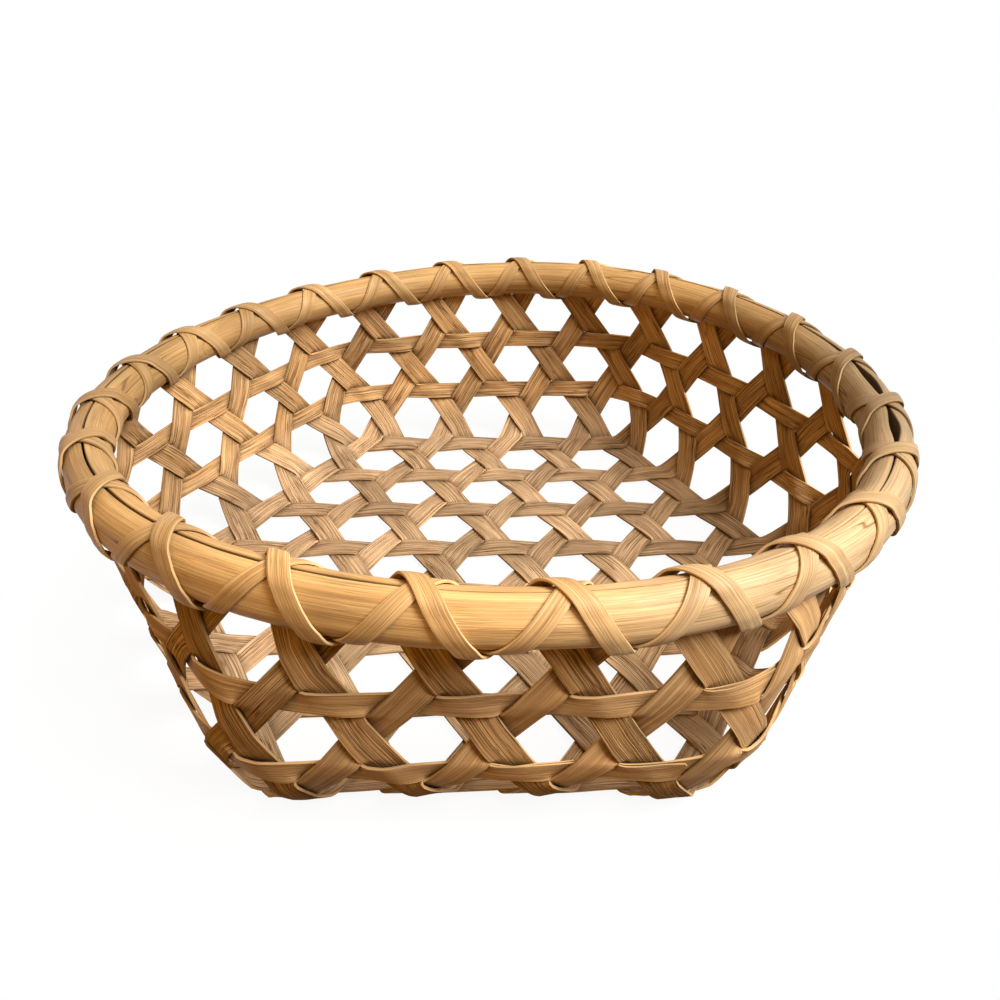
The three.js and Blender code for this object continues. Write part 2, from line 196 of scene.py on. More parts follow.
class RimSizes(bpy.types.PropertyGroup):
    """Sizes of the rim hoops and of the lashing round them."""

    diameter: metres("Diameter", "Both rim hoops together", 0.015)
    slit: metres("Slit", "Gap between the two rim hoops", 0.00055)
    lip_round: metres("Lip round", "Rounding beside the slit", 0.0004)
    crotch_gap: metres("Crotch gap", "Open triangle between the last crossing and the rim", 0.001)
    gape: metres("Gape", "How far the slit has opened at its widest", 0.0014)
    gape_angle: degrees("Gape angle", "Where the slit has opened", -7)
    gape_reach: degrees("Gape reach", "How far round the rim the slit has opened, each way", 19)
    press_angle: degrees("Press angle", "Where the rim hoops are pressed together", -66)
    press_reach: degrees(
        "Press reach", "How far round the rim the hoops are pressed together, each way", 48
    )
    scarf_length: metres("Scarf length", "Length of the slanted joint", 0.026)
    scarf_gap: metres("Scarf gap", "Width of the slanted joint", 0.0004)
    scarf_column_outer: amount("Outer scarf", "Column of the outer joint, from the front", 6)
    scarf_column_inner: amount("Inner scarf", "Column of the inner joint, from the front", -17)
    unevenness: metres("Unevenness", "Hand-shaved unevenness of the rim", 0.00022)
    lasher_width: metres("Lasher width", "Width of a lasher", 0.0055)
    lasher_thickness: metres("Lasher thickness", "Thickness of a lasher", 0.0008)
    lasher_crown: metres("Lasher crown", "How far a lasher's middle is raised", 0.00018)
    lasher_seat: metres("Lasher seat", "Room between rim and lasher", 0.00016)
    lasher_end_gap: metres("Lasher end gap", "Room between a lasher's ends", 0.001)
    lasher_shift: degrees("Lasher shift", "How far the lashing is pulled round the rim", -2.3)
    lasher_drift: degrees(
        "Lasher drift", "How much further the lashing is pulled round on one side", -4.5
    )
    drift_angle: degrees("Drift angle", "Side on which the lashing has drifted", 200)
    lasher_start: degrees("Lasher start", "Where on the rim's section a lasher starts", 225)


class Settling(bpy.types.PropertyGroup):
    """How the basket has settled out of true through handwork and use."""

    lean_right: metres("Lean right", "How far the rim stands to the right", 0.0029)
    oval: amount("Oval", "Share by which the rim is stretched", 0.0328)
    oval_angle: degrees("Oval angle", "Direction of the stretch", -6.2)
    saddle: metres("Saddle", "How far the rim rises and falls", 0.00326)
    saddle_angle: degrees("Saddle angle", "Direction in which the rim rises", 62.2)
    base_spread: amount("Base spread", "Share by which the base is spread", 0.0207)
    foot_spread: amount("Foot spread", "Share by which the foot of the front wall is spread", 0.02)
    corner_drop: metres("Corner drop", "How far the front corners sag", 0.0045)
    wall_bulge: amount("Wall bulge", "Share by which the wall bulges beside the front", 0.022)
    twist: degrees("Twist", "Turn of the rim against the base", 3.45)


class WoodColours(bpy.types.PropertyGroup):
    """Colours of the wood, as linear values."""

    splint_light: colour("Splint light", "Pale streaks of the splints", (0.6, 0.38, 0.185))
    splint_dark: colour("Splint dark", "Brown streaks of the splints", (0.48, 0.265, 0.104))
    splint_fibre: colour("Splint fibre", "Dark fibres of the splints", (0.17, 0.075, 0.025))
    edge_light: colour("Edge light", "Pale wood of the cut edges", (0.58, 0.38, 0.18))
    rim_light: colour("Rim light", "Pale streaks of the rim", (0.70, 0.44, 0.18))
    rim_dark: colour("Rim dark", "Brown streaks of the rim", (0.56, 0.315, 0.115))
    rim_fibre: colour("Rim fibre", "Dark fibres of the rim", (0.24, 0.11, 0.035))
    lasher_light: colour("Lasher light", "Pale streaks of the lashers", (0.68, 0.44, 0.20))
    lasher_dark: colour("Lasher dark", "Brown streaks of the lashers", (0.52, 0.29, 0.105))
    lasher_edge: colour("Lasher edge", "Pale wood of the lashers' cut edges", (0.76, 0.54, 0.28))


class StudioSettings(bpy.types.PropertyGroup):
    """Camera, lamps and floor."""

    camera_place: FloatVectorProperty(
        name="Camera place",
        description="Where the camera stands",
        default=(0.00635, -0.30749, 0.22423),
        unit="LENGTH",
    )
    camera_turn: FloatVectorProperty(
        name="Camera turn",
        description="How the camera is turned",
        default=(math.radians(58.401), math.radians(0.079), math.radians(-0.089)),
        subtype="EULER",
    )
    lens: amount("Lens", "Focal length in millimetres", 32.85)
    key_power: watts("Key power", "Power of the key lamp", 51)
    fill_power: watts("Fill power", "Power of the fill lamp", 2.5)
    side_power: watts("Side power", "Power of the side lamp", 2.6)
    fill_colour: colour("Fill colour", "Colour of the fill lamp", (1.0, 0.78, 0.5))
    side_colour: colour("Side colour", "Colour of the side lamp", (1.0, 0.55, 0.08))
    ambient: amount("Ambient", "Strength of the light from all round", 0.19)
    ambient_colour: colour("Ambient colour", "Colour of the light from all round", (1.0, 0.46, 0.03))
    floor_colour: colour("Floor colour", "Colour of the light from the floor", (0.09, 0.05, 0.015))
    floor_white: amount("Floor white", "How far the floor is brightened to white", 0.93)


def polar(radius, angle, height):
    return Vector((radius * math.cos(angle), radius * math.sin(angle), height))


def lerp(a, b, share):
    return a + (b - a) * share


def smoothstep(low, high, value):
    share = min(1, max(0, (value - low) / (high - low)))
    return share * share * (3 - 2 * share)


@dataclass
class Crossing:
    """A place where two strips meet: its middle, its outward normal and the strips that pass."""

    point: Vector
    normal: Vector
    passes: list = field(default_factory=list)


@dataclass
class Stop:
    """One strip at one crossing. A lap of -1 or 1 marks the inner first or outer last end of a hoop."""

    crossing: Crossing
    over: bool = False
    lap: int = 0
    direction: Vector = None


@dataclass
class Strip:
    """A splint or a hoop, as the row of its stops. Clamps say where a splint goes into the rim."""

    name: str
    width: float
    stops: list
    clamps: list = None


class HexWeave:
    """Crossings and strips of the weave, row by row up the wall, as in the solids."""

    def __init__(self, sizes, rim, settling):
        self.sizes = sizes
        self.settling = settling
        self.pinhole = sizes.thickness + sizes.clearance
        self.spacing = ROOT3 * sizes.splint_width + self.pinhole
        self.half_side = (sizes.splints_each_way - 1) / 2
        self.columns = SIDES * sizes.splints_each_way
        self.middle_height = (self.pinhole + sizes.thickness) / 2
        self.layer = (sizes.thickness + sizes.contact_gap) / 2
        self.top_row = len(HOOP_NAMES) + 0.5
        self.profile = self.wall_profile()
        self.rim_radius, self.top_height = self.ring(self.top_row)
        self.crossing_angle = math.atan2(self.half_row(sizes.hoop_width), self.spacing / 2)
        tip = sizes.splint_width / 2 / math.cos(self.crossing_angle)
        self.rim_foot = self.top_height + tip + rim.crotch_gap
        self.rim_height = self.rim_foot + rim.diameter / 2
        reach = 2 * self.half_row(sizes.hoop_width)
        self.splint_top = self.top_height + reach - tip - rim.crotch_gap
        self.outlines = {}
        self.crossings = {}
        self.sides = [polar(1, FRONT_ANGLE + side * SIDE_ANGLE, 0) for side in range(SIDES)]
        self.ways = [polar(1, way * SIDE_ANGLE, 0) for way in range(3)]
        self.splints = self.make_splints()
        self.lashing_angle = self.splints[0].clamps[0][0]
        self.hoops = [
            self.make_hoop(name, row + 1, HOOP_STARTS[row]) for row, name in enumerate(HOOP_NAMES)
        ]
        for strip in self.splints + self.hoops:
            self.set_directions(strip)

    def half_row(self, across_width):
        """Slant height from a strip of that width up to the next crossing of two splints."""
        width = self.sizes.splint_width
        opening = self.spacing - self.pinhole
        across = self.spacing * across_width / 2
        lean = opening**2 - width**2
        reach = across**2 - (width * self.spacing) ** 2 / 4
        return (opening * across + math.sqrt((opening * across) ** 2 - lean * reach)) / lean

    def wall_slope(self, row):
        tilt = math.pi / 2 - self.sizes.edge_tilt
        return math.pi / 2 - tilt * math.exp(-row / self.sizes.turn_up_rows)

    def wall_profile(self):
        """Mean radius and height of the wall at every half row, from the edge of the base upward."""
        sizes = self.sizes
        edge_width = sizes.splint_width + 2 * sizes.crossing_margin
        radius = SIDES * self.half_side * self.spacing / math.pi
        height = self.middle_height + edge_width / ROOT3 * math.sin(sizes.edge_tilt)
        profile = [(radius, height)]
        for half in range(round(2 * self.top_row) + 1):
            across = sizes.splint_width if half == 0 else sizes.hoop_width
            slopes = (self.wall_slope(half / 2), self.wall_slope((half + 1) / 2))
            bend = self.middle_height * math.tan((slopes[1] - slopes[0]) / 2)
            near_strip = across / 2 + bend
            near_crossing = self.half_row(across) - across / 2 + bend
            lengths = (near_strip, near_crossing) if half % 2 == 0 else (near_crossing, near_strip)
            for slope, length in zip(slopes, lengths):
                radius += length * math.cos(slope)
                height += length * math.sin(slope)
            profile.append((radius, height))
        return profile

    def ring(self, row):
        """Mean radius and height of the wall at a row."""
        return self.profile[round(2 * row)]

    def outline(self, row):
        """Half of one side of the wall at a row, from a soft-cornered hexagon to a circle."""
        if row in self.outlines:
            return self.outlines[row]
        sharpness = self.sizes.corner_sharpness
        roundness = min(1, (row / self.sizes.round_row) ** 2)
        middle = 1 + 2 * math.cos(SIDE_ANGLE) ** sharpness
        points = []
        lengths = [0]
        for i in range(OUTLINE_STEPS + 1):
            angle = SIDE_ANGLE / 2 * i / OUTLINE_STEPS
            total = sum(abs(math.cos(angle + turn * SIDE_ANGLE)) ** sharpness for turn in (-1, 0, 1))
            hexagon = (middle / total) ** (1 / sharpness)
            radius = 1 + (1 - roundness) * (hexagon - 1)
            points.append((radius, angle))
            if i > 0:
                step = polar(*points[i], 0) - polar(*points[i - 1], 0)
                lengths.append(lengths[-1] + step.length)
        scale = math.pi * self.ring(row)[0] / (SIDES * lengths[-1])
        self.outlines[row] = (points, lengths, scale)
        return self.outlines[row]

    def wall_point(self, row, side, share):
        """Point of the wall's middle surface. The share runs evenly along a side, from -1 to 1."""
        points, lengths, scale = self.outline(row)
        wanted = abs(share) * lengths[-1]
        i = bisect_left(lengths, wanted, 1, OUTLINE_STEPS)
        part = (wanted - lengths[i - 1]) / (lengths[i] - lengths[i - 1])
        radius = scale * lerp(points[i - 1][0], points[i][0], part)
        angle = lerp(points[i - 1][1], points[i][1], part)
        turn = FRONT_ANGLE + side * SIDE_ANGLE + math.copysign(angle, share)
        return polar(radius, turn, self.ring(row)[1])

    def wall_crossing(self, row, side, column):
        """The crossing at a row and column of the wall, made when it is first asked for."""
        key = (row, (self.sizes.splints_each_way * side + column) % self.columns)
        if key in self.crossings:
            return self.crossings[key]
        even_columns = math.pi * self.ring(row)[0] / (SIDES * self.spacing)
        half_width = even_columns if row < 1 else self.sizes.splints_each_way / 2
        past = math.copysign(1, column) if abs(column) > half_width else 0
        place = (side + past, (column - 2 * past * half_width) / half_width)
        ahead = self.wall_point(row, place[0], place[1] + TANGENT_STEP)
        along = ahead - self.wall_point(row, place[0], place[1] - TANGENT_STEP)
        upward = self.wall_point(row + 0.5, *place) - self.wall_point(row - 0.5, *place)
        normal = along.cross(upward).normalized()
        self.crossings[key] = Crossing(self.wall_point(row, *place), normal)
        return self.crossings[key]

    def base_crossing(self, key, place):
        """The crossing at a place of the base. Those at its edge lean outward."""
        if key in self.crossings:
            return self.crossings[key]
        edge = ROOT3 * self.half_side * self.spacing
        touched = [outward for outward in self.sides if outward.dot(place) > edge - self.spacing / 4]
        point = place.copy()
        normal = -UP
        point.z = self.middle_height
        if touched:
            lean = sum(touched, Vector()).normalized()
            normal = normal * math.cos(self.sizes.edge_tilt) + lean * math.sin(self.sizes.edge_tilt)
            point.z = self.profile[0][1]
        self.crossings[key] = Crossing(point, normal)
        return self.crossings[key]

    def base_stops(self, way, number):
        """Stops of a splint across the base. Seen from outside, each way passes over the next."""
        offset = number - self.half_side
        reach = 2 * self.half_side - abs(offset)
        direction = self.ways[way]
        across = UP.cross(direction)
        stops = []
        for step in range(round(2 * reach) + 1):
            place = direction * (step - reach) * self.spacing + across * offset * ROOT3 * self.spacing
            for turn in (1, 2):
                other = (way + turn) % 3
                other_across = UP.cross(self.ways[other])
                other_number = place.dot(other_across) / (ROOT3 * self.spacing) + self.half_side
                if abs(other_number - round(other_number)) > ROUNDING_ERROR:
                    continue
                key = tuple(sorted(((way, number), (other, round(other_number)))))
                stops.append(Stop(self.base_crossing(key, place), turn == 1))
        return stops

    def wall_stops(self, end, travel):
        """Stops of one splint end up the wall, and the angle and lean with which it enters the rim."""
        leaving = [side for side in range(SIDES) if self.sides[side].dot(travel) > ROUNDING_ERROR]
        side = max(leaving, key=lambda one: self.sides[one].dot(end))
        right = UP.cross(self.sides[side])
        lean = math.copysign(1, right.dot(travel))
        start = round(2 * right.dot(end) / self.spacing) / 2
        stops = []
        for half in range(1, round(2 * self.top_row) + 1):
            on_hoop = half % 2 == 0
            crossing = self.wall_crossing(half / 2, side, start + lean * half / 2)
            stops.append(Stop(crossing, lean > 0 if on_hoop else lean < 0))
        column = self.sizes.splints_each_way * side + start + lean * self.top_row
        return stops, (FRONT_ANGLE + column / self.columns * 2 * math.pi, lean)

    def make_splints(self):
        splints = []
        for way, direction in enumerate(self.ways):
            for number in range(self.sizes.splints_each_way):
                across = self.base_stops(way, number)
                first, first_clamp = self.wall_stops(across[0].crossing.point, -direction)
                last, last_clamp = self.wall_stops(across[-1].crossing.point, direction)
                name = "splint_" + "abc"[way] + str(number + 1)
                stops = first[::-1] + across + last
                splints.append(Strip(name, self.sizes.splint_width, stops, [first_clamp, last_clamp]))
        return splints

    def make_hoop(self, name, row, start):
        """A hoop goes once round and then runs on along its own start, where both ends are thinned."""
        each = self.sizes.splints_each_way
        stops = []
        for i in range(self.columns + self.sizes.hoop_lap):
            column = i % self.columns + start + 0.5
            side = math.floor((column + each / 2) / each)
            lap = -1 if i < self.sizes.hoop_lap else 1 if i >= self.columns else 0
            stops.append(Stop(self.wall_crossing(row, side % SIDES, column - side * each), lap=lap))
        return Strip(name, self.sizes.hoop_width, stops)

    def set_directions(self, strip):
        """Gives each stop the strip's direction there, and tells the crossing who passes."""
        points = [stop.crossing.point for stop in strip.stops]
        if strip.clamps:
            before, after = (self.clamp_point(clamp, self.rim_foot) for clamp in strip.clamps)
        else:
            before, after = points[self.columns - 1], points[self.sizes.hoop_lap]
        path = [before] + points + [after]
        for i, stop in enumerate(strip.stops):
            chord = path[i + 2] - path[i]
            normal = stop.crossing.normal
            stop.direction = (chord - normal * chord.dot(normal)).normalized()
            if stop.lap != 1:
                stop.crossing.passes.append((strip, stop))

    def settle(self, point):
        """Moves a point of the true shape to where it lies in the settled basket."""
        settling = self.settling
        share = max(0, (point.z - self.middle_height) / (self.rim_height - self.middle_height))
        from_rim = max(0, 1 - share)
        angle = math.atan2(point.y, point.x)
        radius = math.hypot(point.x, point.y)
        front = max(0, -math.sin(angle))
        foot = smoothstep(*FOOT_HEIGHTS, share) * smoothstep(*FOOT_RADII, radius / self.rim_radius)
        corner = foot * front * max(0, -math.cos(SIDES * (angle - FRONT_ANGLE)))
        beside_front = 2 * front * abs(math.cos(angle)) * BULGE_FACTOR * share**2 * from_rim
        swell = 1 + settling.base_spread * from_rim + settling.foot_spread * foot * front**3
        swell += settling.oval * share * math.cos(2 * (angle - settling.oval_angle))
        swell += settling.wall_bulge * beside_front
        rise = settling.saddle * share * math.cos(2 * (angle - settling.saddle_angle))
        sag = corner * smoothstep(*SAG_STARTS, share) * smoothstep(*SAG_ENDS, share)
        rise -= settling.corner_drop * sag
        settled = polar(radius * swell, angle + settling.twist * share, point.z + rise)
        settled.x += settling.lean_right * share
        return settled

    def clamp_angle(self, clamp, height):
        angle, lean = clamp
        return angle + lean * (height - self.top_height) / math.tan(self.crossing_angle) / self.rim_radius

    def clamp_point(self, clamp, height):
        return polar(self.rim_radius, self.clamp_angle(clamp, height), height)


def smooth_path(knots, counts):
    """Points on a curve through the knots, with a count of steps for each stretch.

    Stiff wood runs straight from knot to knot and bends close to each one.
    """
    times = [0]
    for a, b in zip(knots, knots[1:]):
        times.append(times[-1] + (b - a).length)
    slopes = []
    for i in range(len(knots)):
        i0, i1 = max(i - 1, 0), min(i + 1, len(knots) - 1)
        slope = (knots[i1] - knots[i0]) / (times[i1] - times[i0])
        if 0 < i < len(knots) - 1:
            back = (knots[i] - knots[i0]) / (times[i] - times[i0])
            ahead = (knots[i1] - knots[i]) / (times[i1] - times[i])
            slope = back - slope + ahead
        slopes.append(slope * (1 - STIFFNESS))
    points = [knots[0]]
    for i, count in enumerate(counts):
        span = times[i + 1] - times[i]
        for step in range(1, count + 1):
            t = step / count
            points.append(
                knots[i] * (2 * t**3 - 3 * t**2 + 1)
                + slopes[i] * (t**3 - 2 * t**2 + t) * span
                + knots[i + 1] * (3 * t**2 - 2 * t**3)
                + slopes[i + 1] * (t**3 - t**2) * span
            )
    return points


def lane_shares(count):
    return [2 * lane / (count - 1) - 1 for lane in range(count)]


def met_strip(strip, stop):
    """The other strip at a stop, its own stop there, and whether it is the lower of the two."""
    other_strip, other = next(one for one in stop.crossing.passes if one[0] is not strip)
    return other_strip, other, stop.over if strip.clamps else not other.over


def crossing_ribs(weave, strip, stop, draw):
    """Three ribs of a strip at a crossing: over both edges of the other strip and over its middle."""
    sizes = weave.sizes
    crossing = stop.crossing
    other_strip, other, over = met_strip(strip, stop)
    sine = stop.direction.cross(other.direction).length
    left = crossing.normal.cross(stop.direction)
    slant = other.direction * math.copysign(1, other.direction.dot(left))
    reach = (other_strip.width / 2 + sizes.crossing_margin) / sine
    outward = 1 if over else -1
    level = outward * weave.layer + stop.lap * (sizes.thickness / 2 + sizes.contact_gap) / 2
    arch = outward * (sizes.arch if strip.clamps else sizes.hoop_arch) * draw.uniform(*ARCH_RANGE)
    stray = sizes.wander * draw.uniform(-1, 1)
    half = strip.width / 2 * draw.uniform(*WIDTH_RANGE)
    ribs = []
    for along in (-1, 0, 1):
        depth = level + (arch if along == 0 else 0)
        middle = crossing.point + stop.direction * along * reach + crossing.normal * depth
        ribs.append([middle + slant * (share * half + stray) / sine for share in lane_shares(LANES)])
    return ribs


def clamp_rib(weave, strip, clamp, height, travel):
    """A level rib of a splint end in the rim's slit. Travel is 1 on the way up and -1 on the way down."""
    half = strip.width / 2 / math.sin(weave.crossing_angle) / weave.rim_radius
    angle = weave.clamp_angle(clamp, height)
    return [polar(weave.rim_radius, angle - share * travel * half, height) for share in lane_shares(LANES)]


def hoop_tip(weave, rib, stop):
    """The last rib of a hoop, where its outer end is cut to a point along the upper edge."""
    top = rib[-1]
    return [lerp(point, top, TIP_SHARPNESS) + stop.direction * weave.sizes.tip_length for point in rib]


def strip_ribs(weave, strip, draw):
    """All ribs of a strip, and the steps between them."""
    ribs = []
    counts = []
    for stop in strip.stops:
        ribs += crossing_ribs(weave, strip, stop, draw)
        counts += [ARCH_STEPS, ARCH_STEPS, DIP_STEPS]
    if not strip.clamps:
        return ribs + [hoop_tip(weave, ribs[-1], strip.stops[-1])], counts[:-1] + [ARCH_STEPS]
    first, last = strip.clamps
    heights = (weave.rim_foot, weave.splint_top)
    down = [clamp_rib(weave, strip, first, height, -1) for height in reversed(heights)]
    up = [clamp_rib(weave, strip, last, height, 1) for height in heights]
    return down + ribs + up, [ARCH_STEPS, DIP_STEPS] + counts + [ARCH_STEPS]


def begin():
    """Leaves edit mode and deselects everything, so that the next operator acts on the new piece only."""
    if bpy.context.mode != "OBJECT":
        bpy.ops.object.mode_set(mode="OBJECT")
    bpy.ops.object.select_all(action="DESELECT")


def lay_grain(mesh, grain):
    """Writes the grain map: the place of each vertex, in metres along and across the grain."""
    grain_map = mesh.uv_layers[0]
    grain_map.name = GRAIN_MAP
    for loop, spot in zip(mesh.loops, grain_map.data):
        spot.uv = grain[loop.vertex_index]
    mesh.update()


def add_ribbon(weave, name, lanes, finishes, number):
    """A sheet shaped from a grid. Its lanes run side by side along the grain."""
    lanes = [[weave.settle(point) for point in lane] for lane in lanes]
    begin()
    bpy.ops.mesh.primitive_grid_add(
        x_subdivisions=len(lanes[0]) - 1, y_subdivisions=len(lanes) - 1, size=1
    )
    ribbon = bpy.context.active_object
    ribbon.name = name
    ribbon.data.name = name
    start = number * PIECE_SPAN
    places = []
    grain = []
    for lane in lanes:
        along = start
        across = start + (lane[0] - lanes[0][0]).length
        for before, point in zip(lane[:1] + lane, lane):
            along += (point - before).length
            places.extend(point)
            grain.append((along, across))
    ribbon.data.vertices.foreach_set("co", places)
    lay_grain(ribbon.data, grain)
    for finish in finishes:
        ribbon.data.materials.append(finish)
    return ribbon


def apply_modifier(piece, name, kind, **settings):
    modifier = piece.modifiers.new(name, kind)
    for key, value in settings.items():
        setattr(modifier, key, value)
    bpy.ops.object.modifier_apply(modifier=modifier.name)


def thicken(ribbon, thickness, edge_round, group=""):
    """Gives a sheet its thickness: outer face, inner face and cut edge take the first three finishes."""
    apply_modifier(
        ribbon,
        "thickness",
        "SOLIDIFY",
        thickness=thickness,
        offset=0,
        vertex_group=group,
        use_quality_normals=True,
        material_offset=1,
        material_offset_rim=2,
    )
    apply_modifier(
        ribbon,
        "edges",
        "BEVEL",
        width=edge_round,
        segments=1,
        limit_method="ANGLE",
        angle_limit=BEVEL_ANGLE,
    )


def rim_tone(place):
    """The rim is darker towards the back, and most at the two sides."""
    side_darkening = RIGHT_SIDE_DARKENING if place.x > 0 else LEFT_SIDE_DARKENING
    darker_at_side = side_darkening * (place.x / SIDE_DARK_PLACE) ** 4
    return lerp(*RIM_TONES, smoothstep(*RIM_FADE, place.y)) - darker_at_side


def finish_piece(piece, node, tones):
    """Shades a piece smooth, gives each vertex its tone, and lets the piece stand for its CAD node."""
    bpy.ops.object.shade_smooth_by_angle(angle=SMOOTH_ANGLE)
    attribute = piece.data.attributes.new(TONE, "FLOAT", "POINT")
    attribute.data.foreach_set("value", tones)
    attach(piece, BODY)
    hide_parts(node)


def add_strip(weave, strip, finishes, number):
    """A splint or hoop as a sheet that dips and arches over its crossings."""
    draw = random.Random(number)
    ribs, counts = strip_ribs(weave, strip, draw)
    lanes = [smooth_path([rib[lane] for rib in ribs], counts) for lane in range(LANES)]
    ribbon = add_ribbon(weave, "look_" + strip.name, lanes, finishes, number)
    group = ""
    if not strip.clamps:
        lap_rows = weave.sizes.hoop_lap * (2 * ARCH_STEPS + DIP_STEPS)
        group = thin_ends(ribbon, len(lanes[0]), lap_rows)
    thicken(ribbon, weave.sizes.thickness, weave.sizes.edge_round, group)
    tones = strip_tones(weave, strip, ribbon, draw.uniform(*TONE_RANGE))
    finish_piece(ribbon, strip.name, tones)


def strip_tones(weave, strip, ribbon, tone):
    """Tones of a strip. Painted shade darkens the face that another strip covers, beside that strip."""
    crossings = KDTree(len(strip.stops))
    for number, stop in enumerate(strip.stops):
        crossings.insert(weave.settle(stop.crossing.point), number)
    crossings.balance()
    tones = []
    for vertex in ribbon.data.vertices:
        middle, number, _ = crossings.find(vertex.co)
        stop = strip.stops[number]
        other_strip, other, over = met_strip(strip, stop)
        covered = vertex.normal.dot(stop.crossing.normal) * (-1 if over else 1)
        sideways = stop.crossing.normal.cross(other.direction)
        past_edge = abs((vertex.co - middle).dot(sideways)) - other_strip.width / 2
        # Painted shade: darker beside the strip that covers this face
        crossing_shade = smoothstep(weave.sizes.crossing_shade_reach, 0, past_edge) * smoothstep(*COVERED_COSINES, covered)
        tones.append(tone * lerp(1, CROSSING_SHADE_TONE, crossing_shade))
    return tones


def thin_ends(ribbon, row_count, lap_rows):
    """Marks both ends of a hoop to be thinner than its run."""
    group = ribbon.vertex_groups.new(name="thickness")
    for vertex in ribbon.data.vertices:
        row = vertex.index % row_count
        from_end = min(row, row_count - 1 - row)
        weight = lerp(LAP_THICKNESS, 1, smoothstep(lap_rows - DIP_STEPS, lap_rows, from_end))
        group.add([vertex.index], weight, "REPLACE")
    return group.name


def rim_section(rim, facing):
    """Half of the round rim section beside the slit, as radial and vertical offsets."""
    radius = rim.diameter / 2
    lip = rim.slit / 2 + rim.lip_round
    top = math.acos(lip / radius)
    arc = []
    for i in range(RIM_ARC_POINTS + 1):
        angle = top - 2 * top * i / RIM_ARC_POINTS
        arc.append((radius * math.cos(angle), radius * math.sin(angle)))
    height = arc[0][1]
    upper = [
        (rim.slit / 2 + rim.lip_round * across, height - down * rim.lip_round)
        for across, down in LIP_POINTS
    ]
    lower = [(across, -up) for across, up in reversed(upper)]
    return [(facing * across, up) for across, up in upper + arc + lower]


def add_rim_hoop(weave, rim, name, facing, scarf_column, finish, number):
    """A rim hoop: half a round section spun about the basket, with a slanted scarf at its ends."""
    section = rim_section(rim, facing)
    start = FRONT_ANGLE + scarf_column / weave.columns * 2 * math.pi
    sweep = 2 * math.pi - rim.scarf_gap / (weave.rim_radius - rim.diameter / 2)
    begin()
    bpy.ops.mesh.primitive_circle_add(vertices=len(section), radius=rim.diameter / 2)
    hoop = bpy.context.active_object
    hoop.name = "look_" + name
    hoop.data.name = hoop.name
    for vertex, (across, up) in zip(hoop.data.vertices, section):
        vertex.co = polar(weave.rim_radius + across, start, weave.rim_height + up)
    bpy.ops.object.mode_set(mode="EDIT")
    bpy.ops.mesh.select_all(action="SELECT")
    bpy.ops.mesh.spin(steps=RIM_STEPS, angle=sweep, center=(0, 0, 0), axis=(0, 0, 1))
    bpy.ops.mesh.select_all(action="SELECT")
    bpy.ops.mesh.fill_holes(sides=0)
    bpy.ops.mesh.select_all(action="SELECT")
    bpy.ops.mesh.normals_make_consistent(inside=False)
    bpy.ops.object.mode_set(mode="OBJECT")
    tones = shave_rim_hoop(weave, rim, hoop, start, facing, number)
    hoop.data.materials.append(finish)
    finish_piece(hoop, name, tones)


def near_angle(angle, middle, reach):
    """1 close to the middle angle, falling to 0 at the reach on both sides."""
    past = abs((angle - middle + math.pi) % (2 * math.pi) - math.pi)
    return smoothstep(reach, reach / 2, past)


def slit_opening(weave, rim, angle):
    """How far the slit opens beside each hoop: it gapes between lashers, or is pressed shut."""
    half_turn = 2 * math.pi / weave.columns
    from_lasher = angle - weave.lashing_angle - rim.lasher_shift
    between = math.sin(from_lasher * math.pi / (2 * half_turn)) ** 2
    gape = rim.gape * between * near_angle(angle, rim.gape_angle, rim.gape_reach)
    return gape - PRESSED_SHARE * rim.slit / 2 * near_angle(angle, rim.press_angle, rim.press_reach)


def shave_rim_hoop(weave, rim, hoop, start, facing, number):
    """Slants the scarf, shaves the surface uneven, and lays the grain along the hoop. Returns its tones,
    with painted shade in the slit.
    """
    mesh = hoop.data
    radius = rim.diameter / 2
    grain = []
    tones = []
    for vertex in mesh.vertices:
        x, y, z = vertex.co
        across = math.hypot(x, y) - weave.rim_radius
        up = z - weave.rim_height
        turn = (math.atan2(y, x) - start + SEAM_SLACK) % (2 * math.pi)
        slant = (abs(across) - rim.slit / 2) / radius * rim.scarf_length / weave.rim_radius
        angle = start + turn + slant
        round_angle = math.atan2(up, facing * across)
        spot = Vector((turn * SHAVING_ALONG, round_angle * SHAVING_ROUND, number * SHAVING_PIECE))
        shaving = noise.noise(spot) + noise.noise(spot * SHAVING_DETAIL) / 2
        swell = 1 + rim.unevenness / radius * shaving
        opening = slit_opening(weave, rim, angle) * (1 - abs(across) / radius)
        shaved = polar(
            weave.rim_radius + across * swell + facing * opening,
            angle,
            weave.rim_height + up * swell,
        )
        vertex.co = weave.settle(shaved)
        # Painted shade: the slit is darkened, less where the hoops are pressed shut
        in_slit = smoothstep(rim.slit / 2 + rim.lip_round, rim.slit / 2, abs(across))
        pressed = near_angle(angle, rim.press_angle, rim.press_reach)
        slit_shade = in_slit * (1 - PRESSED_LESS_SHADE * pressed)
        tones.append(rim_tone(vertex.co) * lerp(1, SLIT_SHADE_TONE, slit_shade))
        along = (turn + slant) * weave.rim_radius
        grain.append((along + number * PIECE_SPAN, round_angle * radius + number * PIECE_SPAN))
    lay_grain(mesh, grain)
    return tones


